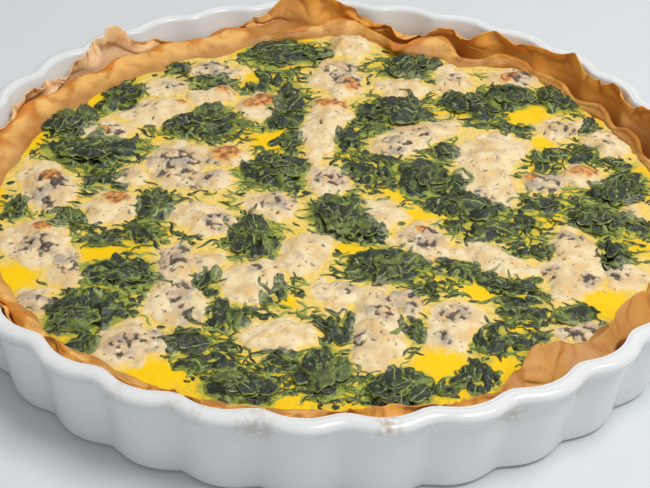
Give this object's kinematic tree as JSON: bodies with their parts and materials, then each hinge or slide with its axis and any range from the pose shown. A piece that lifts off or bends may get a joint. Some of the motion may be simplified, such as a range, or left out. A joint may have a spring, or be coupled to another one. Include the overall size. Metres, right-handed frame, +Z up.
{
  "type": "spinach tart in a fluted dish",
  "caption": "Round baked tart with custard, melted cheese and wilted spinach, in baking paper in a fluted white porcelain dish.",
  "frame": {"origin": "centre of the dish's foot, on the surface that it stands on", "axes": "+Z up, out of the dish; +X and +Y level, with +Y away from the picture's camera"},
  "size_m": [0.2992, 0.2992, 0.0443],
  "materials": {
    "dish": "white glazed porcelain, glossy, with a few tan specks baked on",
    "paper": "browned baking paper, translucent with butter, crumpled",
    "crust": "baked shortcrust pastry, golden with darker ridges",
    "custard": "set egg custard, moist and slightly glossy",
    "cheese": "melted cream-coloured blue cheese, satin, with browned and grey spots",
    "spinach": "cooked spinach leaves, dark green, wet"
  },
  "bodies": {
    "root": {"dish": "dish", "paper": "paper", "crust": "crust", "custard": "custard", "cheese_01": "cheese", "cheese_02": "cheese", "cheese_03": "cheese", "cheese_04": "cheese", "cheese_05": "cheese", "cheese_06": "cheese", "cheese_07": "cheese", "cheese_08": "cheese", "cheese_09": "cheese", "cheese_10": "cheese", "cheese_11": "cheese", "cheese_12": "cheese", "cheese_13": "cheese", "cheese_14": "cheese", "cheese_15": "cheese", "cheese_16": "cheese", "cheese_17": "cheese", "cheese_18": "cheese", "cheese_19": "cheese", "cheese_20": "cheese", "cheese_21": "cheese", "cheese_22": "cheese", "cheese_23": "cheese", "cheese_24": "cheese", "cheese_25": "cheese", "cheese_26": "cheese", "cheese_27": "cheese", "cheese_28": "cheese", "cheese_29": "cheese", "cheese_30": "cheese", "cheese_31": "cheese", "spinach_01": "spinach", "spinach_02": "spinach", "spinach_03": "spinach", "spinach_04": "spinach", "spinach_05": "spinach", "spinach_06": "spinach", "spinach_07": "spinach", "spinach_08": "spinach", "spinach_09": "spinach", "spinach_10": "spinach", "spinach_11": "spinach", "spinach_12": "spinach", "spinach_13": "spinach", "spinach_14": "spinach", "spinach_15": "spinach", "spinach_16": "spinach", "spinach_17": "spinach", "spinach_18": "spinach", "spinach_19": "spinach", "spinach_20": "spinach", "spinach_21": "spinach", "spinach_22": "spinach", "spinach_23": "spinach", "spinach_24": "spinach", "spinach_25": "spinach"}
  },
  "joints": []
}
